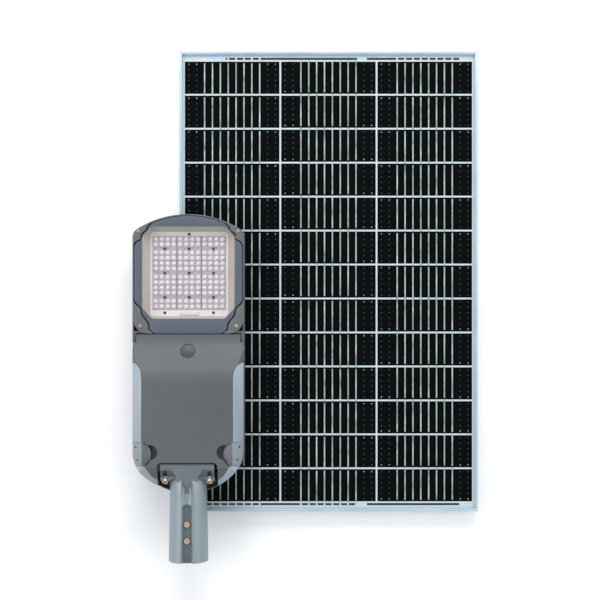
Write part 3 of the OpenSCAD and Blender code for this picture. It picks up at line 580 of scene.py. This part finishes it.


# ---- Light module -------------------------------------------------------------------
# A white board with 144 light sources. Nine moulded lens plates are screwed over it,
# each with sixteen domes, and a warm phosphor spot lies under every dome, with a faint painted glow.
board_white = finish("board_mask", (222, 220, 222), (208, 206, 210), 0.45, patch=40)
# The phosphor's emission is a painted glow; the light is not switched on.
phosphor = finish("phosphor", (255, 206, 96), (250, 190, 80), 0.4, light=0.5)
plate_moulding = finish("plate_moulding", (186, 179, 186), (160, 152, 160), 0.3, grain=240, patch=120, depth=0.2,
                        coat=0.2)
lens_clear = finish("lens_dome", (244, 242, 248), (232, 230, 240), 0.06, grain=160, patch=60, depth=0.0,
                    coat=0.6, specular=0.9, alpha=0.62)
dark_screw = finish("dark_screw", (96, 58, 50), (70, 44, 40), 0.4, metallic=0.6)
put_on(board_white, "led_board")
PLATES, PLATE, PLATE_STEP = 3, 52.4, 53.0
ARRAY_ALONG = 127.0
PLATE_FOOT, PLATE_FACE = 35.7, 38.4
DOME_RADIUS, SPOT_RADIUS = 5.6, 1.5
DOME_ACROSS = (-19.65, -6.55, 6.55, 19.65)
DOME_ALONG = (-20.7, -9.0, 9.0, 20.7)

dome = disc(12, DOME_RADIUS * MM)
bpy.ops.object.mode_set(mode="EDIT")
bpy.ops.mesh.select_all(action="SELECT")
for rise, size in ((0.7, 0.98), (0.1, 0.82), (1.1, 0.86), (0.7, 0.72), (0.3, 0.45)):
    drawn_up(rise * MM)
    bpy.ops.transform.resize(value=(size, size, 1), center_override=(0, 0, 0))
closed()
smooth(dome, 50)

spot = disc(8, SPOT_RADIUS * MM)
bpy.ops.object.mode_set(mode="EDIT")
bpy.ops.mesh.select_all(action="SELECT")
drawn_up(1.5 * MM)
closed()

blank = plate("lens_plate", [(-PLATE / 2, -PLATE / 2), (PLATE / 2, -PLATE / 2), (PLATE / 2, PLATE / 2),
                             (-PLATE / 2, PLATE / 2)], PLATE_FOOT, PLATE_FACE - 0.5)
bpy.ops.object.mode_set(mode="EDIT")
bpy.ops.mesh.select_all(action="DESELECT")
bpy.ops.object.mode_set(mode="OBJECT")
for face in blank.data.polygons:
    face.select = face.normal.z > 0.9
bpy.ops.object.mode_set(mode="EDIT")
bpy.ops.mesh.inset(thickness=1.3 * MM)
bpy.ops.mesh.inset(thickness=0.4 * MM, depth=-0.7 * MM)
bpy.ops.object.mode_set(mode="OBJECT")
rounded(blank, 0.25, 1)

plate_places, dome_places, spot_places = [], [], []
for i in range(PLATES):
    for j in range(PLATES):
        middle_across = (i - 1) * PLATE_STEP
        middle_along = ARRAY_ALONG + (j - 1) * PLATE_STEP
        plate_places.append(at(middle_across, middle_along, 0) - at(0, 0, 0))
        for across in DOME_ACROSS:
            for along in DOME_ALONG:
                dome_places.append(at(middle_across + across, middle_along + along, PLATE_FACE - 0.7))
                spot_places.append(at(middle_across + across - 0.5, middle_along + along + 0.4, PLATE_FACE + 0.4))
lens_plates = set_out(blank, plate_places, "lens_plates_moulded")
domes = set_out(dome, dome_places, "lens_domes")
spots = set_out(spot, spot_places, "phosphor_spots")
for pattern in (blank, dome, spot):
    bpy.data.objects.remove(pattern)
fitted(lens_plates, plate_moulding, "lamp", "lens", "lens_plates")
fitted(domes, lens_clear, "lamp", "lens")
fitted(spots, phosphor, "lamp", "led", "leds")
worked("lens_screws", "plate_screws", "lamp", dark_screw, edge=0.15)
SCREW_RADIUS, TRAY_FLOOR = 2.9, 36.95
screw_head = disc(24, SCREW_RADIUS * MM)
bpy.ops.object.mode_set(mode="EDIT")
bpy.ops.mesh.select_all(action="SELECT")
drawn_up(0.9 * MM)
bpy.ops.mesh.inset(thickness=0.7 * MM, depth=0.5 * MM)
bpy.ops.mesh.inset(thickness=0.8 * MM)
bpy.ops.mesh.inset(thickness=0.2 * MM, depth=-0.7 * MM)
closed()
smooth(screw_head, 40)
TRAY_SCREWS = ((0, 42.8), (-53, 213.5), (53, 213.5))
flange_screws = set_out(screw_head, [at(across, along, TRAY_FLOOR) for across, along in TRAY_SCREWS],
                        "tray_floor_screws")
bpy.data.objects.remove(screw_head)
fitted(flange_screws, dark_screw, "lamp", "screw_dark")
# Dark strips under the gaps between the lens plates: painted shade in the gaps.
split_shade = finish("split_painted_shade", (112, 104, 110), (98, 92, 98), 0.6)
SPLIT_HALF, SPLIT_REACH = 0.9, 79
for number, across in enumerate((-PLATE_STEP / 2, PLATE_STEP / 2)):
    left_edge, right_edge = across - SPLIT_HALF, across + SPLIT_HALF
    split = plate("split_painted_shade_" + str(number + 1), [
        (left_edge, ARRAY_ALONG - SPLIT_REACH), (right_edge, ARRAY_ALONG - SPLIT_REACH),
        (right_edge, ARRAY_ALONG + SPLIT_REACH), (left_edge, ARRAY_ALONG + SPLIT_REACH)], PLATE_FOOT, 37.95)
    rounded(split, 0.15, 1)
    fitted(split, split_shade, "lamp", "lens")
worked("lead_cover", "wire_cover", "lamp", board_white, edge=0.7)

# ---- Reflector tray --------------------------------------------------------------------
# Moulded in white, satin on its sloping walls, whose darker colour is painted shade. Its floor
# fits round the lens plates and its flange is trapped between the board and the window's gasket.
tray_white = finish("tray_white", (226, 222, 220), (216, 211, 208), 0.36, patch=12, coat=0.2)
tray_satin_painted_shade = finish("tray_satin_painted_shade", (184, 175, 168), (172, 162, 155), 0.5, patch=16)


def corners(half, first, last, cut_across, cut_along, radius, steps=5):
    """A rectangle with each corner cut off, and the two corners of the cut rounded."""
    turn = math.atan2(cut_along, cut_across)
    reach = radius * math.tan(turn / 2)
    reach_2 = radius * math.tan((math.pi / 2 - turn) / 2)
    top = arc(half - cut_across - reach, first + radius, radius, -90, -90 + math.degrees(turn), steps)
    side = arc(half - radius, first + cut_along + reach_2, radius, -90 + math.degrees(turn), 0, steps)
    upper = top + side
    line = upper + [(a, first + last - b) for a, b in reversed(upper)]
    return line + flipped(line)


def ring(name, loops):
    """A band drawn out from a first loop through the others, given as (outline, height)."""
    count = len(loops[0][0])
    bpy.ops.object.select_all(action="DESELECT")
    bpy.ops.mesh.primitive_circle_add(vertices=count, fill_type="NOTHING", location=(0, 0, 0))
    band = bpy.context.object
    band.name = name
    row = list(range(count))
    for k, (across, along) in enumerate(loops[0][0]):
        band.data.vertices[k].co = at(across, along, loops[0][1])
    bpy.ops.object.mode_set(mode="EDIT")
    bpy.ops.mesh.select_mode(type="EDGE")
    bpy.ops.mesh.select_all(action="SELECT")
    for outline, height in loops[1:]:
        bpy.ops.mesh.extrude_edges_move(TRANSFORM_OT_translate={"value": (0, 0, 0)})
        bpy.ops.object.mode_set(mode="OBJECT")
        corners_now = band.data.vertices
        before = {tuple(round(c, 7) for c in corners_now[i].co): k for k, i in enumerate(row)}
        drawn = [0] * count
        for corner in corners_now[len(corners_now) - count:]:
            drawn[before[tuple(round(c, 7) for c in corner.co)]] = corner.index
        for k, (across, along) in enumerate(outline):
            corners_now[drawn[k]].co = at(across, along, height)
        row = drawn
        bpy.ops.object.mode_set(mode="EDIT")
    bpy.ops.mesh.select_all(action="SELECT")
    bpy.ops.mesh.remove_doubles(threshold=0.000002)
    bpy.ops.mesh.normals_make_consistent(inside=False)
    bpy.ops.object.mode_set(mode="OBJECT")
    return band


WINDOW_HALF, WINDOW_TOP, WINDOW_FOOT = 100.0, 27.0, 226.0
rim = corners(WINDOW_HALF + 3, WINDOW_TOP - 3, WINDOW_FOOT + 3, 20, 22, 7)
wall_top = corners(WINDOW_HALF - 0.4, WINDOW_TOP + 0.4, WINDOW_FOOT - 0.4, 18, 20, 7)
wall_lip = corners(WINDOW_HALF - 2.2, WINDOW_TOP + 2.0, WINDOW_FOOT - 1.8, 17.5, 19.5, 7)
floor_edge = corners(84.2, 37.4, 220.8, 5, 5, 6)
floor_in = corners(82.4, 39.6, 219.2, 4, 4, 5)
ARRAY_HALF = 79.8
opening = corners(ARRAY_HALF, ARRAY_ALONG - ARRAY_HALF, ARRAY_ALONG + ARRAY_HALF, 0.6, 0.6, 0.5)
tray = ring("tray", [(opening, 35.7), (opening, 36.9), (floor_in, 36.9), (floor_edge, 37.6), (wall_lip, 51.4),
                     (wall_top, 52.5), (rim, 52.5), (rim, 51.2), (wall_lip, 50.2), (floor_edge, 36.2),
                     (opening, 35.7)])
fitted(tray, tray_white, "lamp", "tray_plastic", "reflector_tray")
# The steep walls take the darker satin copy: painted shade on the walls.
tray.data.materials.append(tray_satin_painted_shade)
for face in tray.data.polygons:
    if abs(face.normal.z) < 0.88 and face.center.z > at(0, 0, 38).z:
        face.material_index = 1
smooth(tray, 40)

# ---- Window, bezel and clamps ---------------------------------------------------------
# Clear tempered glass on a rubber gasket. The blue-grey bezel holds it down, and
# four cast clamps with wavy inner edges, each with one screw, hold the bezel.
rubber = finish("black_rubber", (26, 26, 27), (20, 20, 21), 0.7, grain=500, depth=0.08)
window_clear = finish("window_glass", (40, 46, 50), (36, 42, 46), 0.04, patch=4, depth=0.0, specular=0.4,
                      alpha=0.04)
blue_powder = finish("blue_grey_powder", (83, 91, 104), (74, 82, 95), 0.48, grain=1100, patch=7, depth=0.06)
clamp_powder = finish("clamp_powder", (98, 101, 103), (88, 91, 93), 0.46, grain=1100, patch=9, depth=0.06)
put_on(rubber, "window_gasket", "cover_gasket", "plug_seal")
put_on(window_clear, "window_glass")
BEZEL_FOOT, BEZEL_FACE = 56.1, 58.0
BEZEL_INSET, BEZEL_END = 4.4, 258.6
WAVE_GAP = 1.4
crown_wave = flowing([(80.7, 20.6), (84.5, 24.0), (89.0, 29.0), (90.6, 35.0), (97.5, 40.5), (101.5, 46.5),
                      (102.4, 54.7), (112.6, 60.1), (118.0, 69.7)])
tail_wave = flowing([(117.8, 186.2), (112.6, 195.2), (103.0, 204.0), (100.0, 218.4), (93.1, 227.1), (86.0, 237.9),
                     (84.6, 249.0), (74.4, 258.2)])
edge = [p for p in crown_edge(BEZEL_INSET) if p[0] < crown_wave[0][0] - 1.5]
side = HALF_WIDTH - BEZEL_INSET
upper = [p for p in beside(crown_wave, -WAVE_GAP) if p[0] < side]
lower = [p for p in beside(tail_wave, -WAVE_GAP) if p[0] < side and p[1] < BEZEL_END]
half = edge + upper + [(side, upper[-1][1] + 2), (side, lower[0][1] - 2)] + lower + [(lower[-1][0] - 2, BEZEL_END)]


def around(outline, shift=0.0, count=480):
    """The outline met by spokes from the light's middle, each point moved out by the shift."""
    met = []
    for k in range(count):
        turn = 2 * math.pi * k / count
        spoke = Vector((math.sin(turn), -math.cos(turn)))
        far = 0.0
        for start, end in zip(outline, outline[1:] + outline[:1]):
            a, b = Vector(start) - Vector((0, ARRAY_ALONG)), Vector(end) - Vector((0, ARRAY_ALONG))
            cross = spoke.x * (b.y - a.y) - spoke.y * (b.x - a.x)
            if abs(cross) > 1e-9:
                reach = (a.x * (b.y - a.y) - a.y * (b.x - a.x)) / cross
                place = (a.x * spoke.y - a.y * spoke.x) / cross
                if reach > far and -1e-6 <= place <= 1 + 1e-6:
                    far = reach
        met.append((spoke.x * (far + shift), ARRAY_ALONG + spoke.y * (far + shift)))
    return met


outside = half + flipped(half[1:])
view = corners(WINDOW_HALF, WINDOW_TOP, WINDOW_FOOT, 21, 23, 7)
bezel = ring("window_bezel", [
    (around(outside), BEZEL_FOOT), (around(outside), BEZEL_FACE - 0.7), (around(outside, -0.25), BEZEL_FACE - 0.2),
    (around(outside, -0.8), BEZEL_FACE), (around(view, 0.8), BEZEL_FACE), (around(view, 0.25), BEZEL_FACE - 0.2),
    (around(view), BEZEL_FACE - 0.7), (around(view), BEZEL_FOOT), (around(outside), BEZEL_FOOT)])
smooth(bezel, 40)
fitted(bezel, blue_powder, "lamp", "bezel_paint", "bezel")

CLAMP_FOOT, CLAMP_FACE = 54.0, 58.5
clamp_side = HALF_WIDTH - 0.5
wave = beside(crown_wave, WAVE_GAP)
crown_clamp = ([p for p in crown_edge(0.5) if p[0] > wave[0][0] + 0.5] + [(clamp_side, wave[-1][1] + 3)]
               + [p for p in reversed(wave) if p[0] < HALF_WIDTH - 1])
wave = beside(tail_wave, WAVE_GAP)
tail_clamp = ([p for p in wave if p[0] < HALF_WIDTH - 1 and p[1] < BEZEL_END - 0.3]
              + [(76.5, BEZEL_END + 0.2), (88, 258.4), (100, 256.6), (109, 251.0), (115, 243.0), (118.2, 236.0)]
              + [(clamp_side, 231.0), (clamp_side, wave[0][1] - 3)])
for name, outline in (("crown", crown_clamp), ("tail", tail_clamp)):
    for side_name, line in (("right", outline), ("left", flipped(outline))):
        clamp = plate(side_name + "_" + name + "_clamp", line, CLAMP_FOOT, CLAMP_FACE)
        rounded(clamp, 0.8, 3)
        fitted(clamp, clamp_powder, "lamp", "clamp_paint",
               *(["corner_clamps"] if (name, side_name) == ("crown", "left") else []))
worked("corner_screws", "clamp_screws", "lamp", bright_steel, edge=0.2)

# ---- Gear bay -------------------------------------------------------------------------
# Under the cover: a zinc plated tray with the battery in its case, the charge
# controller, the terminal block and a breather.
blue_wrap = finish("blue_wrap", (60, 110, 170), (48, 92, 150), 0.4)
green_sleeve = finish("green_sleeve", (86, 150, 100), (70, 130, 86), 0.4)
dark_anodised = finish("dark_anodised", (74, 78, 82), (62, 66, 70), 0.4, metallic=0.5)
ivory = finish("ivory_moulding", (226, 220, 204), (212, 206, 188), 0.5)
put_on(zinc, "gear_tray", "battery_strap", "hinge_pins", "latch_pins", "tilt_washers")
put_on(blue_wrap, "battery_case")
put_on(green_sleeve, "battery_cells")
put_on(dark_anodised, "charge_controller")
put_on(ivory, "terminal_block")
put_on(black_moulding, "breather")

# ---- Gear frame ------------------------------------------------------------------------
# A silver casting round the gear bay: the strips beside the cover, the band round
# the tail and the ledge that the cover's seal lies on.
worked("gear_frame", "side_strips", "lamp", silver_powder, edge=0.5)
# Dark green-grey for the tail's recess corners: painted shade in the recess.
recess_shade = finish("painted_recess_shade", (40, 50, 46), (28, 38, 34), 0.5, grain=900, patch=14)
rim_paint = finish("rim_coat", (84, 92, 92), (70, 78, 78), 0.45, grain=1100)
TAIL_RADIUS = HALF_WIDTH + 14
TAIL_MIDDLE = HEAD_LENGTH - TAIL_RADIUS
RIM_WIDE, RECESS_HALF, TUBE_CLEAR = 3.0, 66.0, 38.4


def tail_place(across, inset=0.0):
    return (across, TAIL_MIDDLE + math.sqrt((TAIL_RADIUS - inset) ** 2 - across ** 2))


def tail_angle(across):
    return math.degrees(math.acos(across / TAIL_RADIUS))


for side_name, turned in (("right", False), ("left", True)):
    rim_line = (arc(0, TAIL_MIDDLE, TAIL_RADIUS - 0.1, 36, tail_angle(TUBE_CLEAR), 24)
                + arc(0, TAIL_MIDDLE, TAIL_RADIUS - RIM_WIDE, tail_angle(TUBE_CLEAR), 36, 24))
    floor_line = ([(TUBE_CLEAR, 560.0), (RECESS_HALF, 560.0)]
                  + [tail_place(RECESS_HALF - k * (RECESS_HALF - TUBE_CLEAR) / 6, 1.0) for k in range(7)])
    tail_rim = plate("tail_rim_" + side_name, flipped(rim_line) if turned else rim_line, 42.0, 50.6)
    rounded(tail_rim, 0.8, 2)
    fitted(tail_rim, rim_paint, "lamp", "housing_paint")
    # Dark plates in the recess corners, coloured as painted shade.
    recess_shade_plate = plate("recess_shade_plate_" + side_name, flipped(floor_line) if turned else floor_line, 36.0, 42.0)
    rounded(recess_shade_plate, 1.2, 3)
    fitted(recess_shade_plate, recess_shade, "lamp", "housing_paint")

# ---- Gear cover ------------------------------------------------------------------------
# A grey casting hinged under the bezel's edge. It rises in a soft ramp to its flat
# face, and has a port for a sensor, two finger cups and a cut-out for the pole clamp.
cover_powder = finish("cover_powder_coat", (88, 92, 95), (78, 82, 85), 0.46, grain=1100, patch=6, depth=0.12)
cover = worked("gear_cover", "bay_cover", "gear_cover", cover_powder, edge=0.5, degrees=28,
               merge=0.02)
weigh = cover.modifiers.new("even_shading", "WEIGHTED_NORMAL")
weigh.keep_sharp = True
alone(cover)
bpy.ops.object.modifier_apply(modifier="even_shading")
plug_black = finish("plug_moulding", (62, 63, 66), (52, 53, 56), 0.45)
worked("sensor_plug", "port_plug", "sensor_plug", plug_black, edge=0.4)

# ---- Latches ---------------------------------------------------------------------------
# One on each side: a silver casting on a pin, with an inner face that slopes down to the finger
# cup, coloured darker as painted shade, and two small drilled holes with dark painted shade inside.
latch_coat = finish("latch_coat", (136, 146, 152), (124, 134, 140), 0.45, metallic=0.2, grain=1300, depth=0.05)
latch_inner = finish("latch_inner_painted_shade", (98, 101, 106), (88, 91, 96), 0.45, metallic=0.1, grain=1300, depth=0.05)
# Near-black for the walls inside the holes: painted shade in the holes.
hole_dark = finish("hole_painted_shade", (40, 46, 48), (30, 36, 38), 0.5)
LATCH_HOLES = ((111.5, 502.0), (107.0, 528.5))
HOLE_RADIUS, LATCH_FACE, SLOPE_EDGE = 2.0, 87.5, 96.9
for side_name, sign in (("left", -1), ("right", 1)):
    latch = worked("latch_" + side_name, side_name + "_latch", "latch_" + side_name, latch_coat,
                   edge=0.4)
    for across, along in LATCH_HOLES:
        bpy.ops.object.select_all(action="DESELECT")
        bpy.ops.mesh.primitive_cylinder_add(vertices=20, radius=HOLE_RADIUS * MM, depth=20 * MM,
                                            location=at(sign * across, along, 79))
        drill = bpy.context.object
        bpy.ops.object.transform_apply(location=True, rotation=True, scale=True)
        joined(latch, drill)
    latch.data.materials.append(latch_inner)
    latch.data.materials.append(hole_dark)
    # Faces of the inner slope take the darker copy: painted shade.
    for face in latch.data.polygons:
        inward = (face.center.x - HEAD_MIDDLE) * sign / MM
        if inward < SLOPE_EDGE and face.center.z > at(0, 0, 74).z:
            face.material_index = 1
        for across, along in LATCH_HOLES:
            off = (face.center - at(sign * across, along, 0)).xy.length
            if off < (HOLE_RADIUS + 0.1) * MM and face.center.z < at(0, 0, LATCH_FACE).z:
                face.material_index = 2
    smooth(latch, 35)

# ---- Pole spigot -----------------------------------------------------------------------
# A silver casting: a flange on the boss, a V-shaped web between two shoulders
# and a socket for the pole, with two set screws in a round-ended groove.
worked("tilt_screws", "tilt_cap_screws", "lamp", bright_steel, edge=0.2)
spigot_coat = finish("spigot_coat", (140, 151, 158), (126, 138, 145), 0.4, metallic=0.3, grain=1300, patch=7,
                     depth=0.06)
# Darker copies of the spigot's silver for its groove floor, web and flange: painted shade.
spigot_shade = finish("spigot_groove_painted_shade", (92, 102, 106), (80, 91, 94), 0.5, metallic=0.1, grain=1300,
                      depth=0.06)
# The V web's copy of the silver: painted shade.
web_painted_shade = finish("web_painted_shade", (104, 111, 118), (94, 101, 108), 0.5, metallic=0.1, grain=1300, depth=0.06)
# The flange's copy of the silver, darkest: painted shade in the recess round the boss.
flange_painted_shade = finish("flange_painted_shade", (84, 92, 92), (72, 82, 80), 0.5, metallic=0.1, grain=1300, depth=0.06)
spigot = worked("spigot", "pole_spigot", "spigot", spigot_coat, edge=0.0)
SLOT_TOP, SLOT_FLOOR_HALF, SLOT_RIM_HALF = 624.0, 9.2, 15.0
SPIGOT_END = 749.0


def slot_line(half, top):
    return [(-half, SPIGOT_END + 8)] + arc(0, top + half, half, 180, 360, 20) + [(half, SPIGOT_END + 8)]


root = plate("web_root", [(-11.0, 556.0), (11.0, 556.0), (11.0, 613.0), (-11.0, 613.0)], 62.0, 91.6)
joined(spigot, root, "UNION")
groove = ring("groove_tool", [(slot_line(SLOT_FLOOR_HALF, SLOT_TOP + 2), 85.6),
                              (slot_line(SLOT_RIM_HALF, SLOT_TOP - 5), 96.5)])
alone(groove)
bpy.ops.object.mode_set(mode="EDIT")
bpy.ops.mesh.select_all(action="DESELECT")
bpy.ops.mesh.select_mode(type="EDGE")
bpy.ops.mesh.select_non_manifold()
bpy.ops.mesh.fill_holes(sides=0)
closed()
joined(spigot, groove)

bpy.ops.object.select_all(action="DESELECT")
bpy.ops.mesh.primitive_uv_sphere_add(segments=40, ring_count=24, radius=1, location=(0, 0, 0))
valley = bpy.context.object
valley.scale = (11.5 * MM, 36 * MM, 6 * MM)
valley.location = at(0, 606, 94.2)
bpy.ops.object.transform_apply(location=True, rotation=True, scale=True)
joined(spigot, valley)
WEB_FACE, WEB_TOP, WEB_APEX = 85.2, 547.0, 600.0
joined(spigot, plate("web_cut", [(-27.0, 538.0), (27.0, 538.0), (2.4, WEB_APEX - 2), (-2.4, WEB_APEX - 2)],
                     WEB_FACE, 110.0))
web = plate("web", [(-34.0, WEB_TOP), (34.0, WEB_TOP), (3.2, WEB_APEX), (-3.2, WEB_APEX)], 60.0, WEB_FACE)
joined(spigot, web, "UNION")
rounded(spigot, 0.6, 2)
for extra in (spigot_shade, web_painted_shade, flange_painted_shade):
    spigot.data.materials.append(extra)
# Faces in the groove, on the web and on the flange take the painted-shade copies.
for face in spigot.data.polygons:
    across = abs(face.center.x - HEAD_MIDDLE) / MM
    along = (head_high.y - face.center.y) / MM
    up = (face.center.z - head_low.z) / MM
    in_slot = along > SLOT_TOP - 2 and across < SLOT_FLOOR_HALF + 0.6
    if in_slot and up > 80 and face.normal.z > 0.7:
        face.material_index = 1
    elif up > 84.5 and along < WEB_APEX and face.normal.z > 0.95:
        face.material_index = 2
    elif along < 566:
        face.material_index = 3
smooth(spigot, 35)
worked("pole_screws", "set_screws", "spigot", bright_steel, edge=0.2)
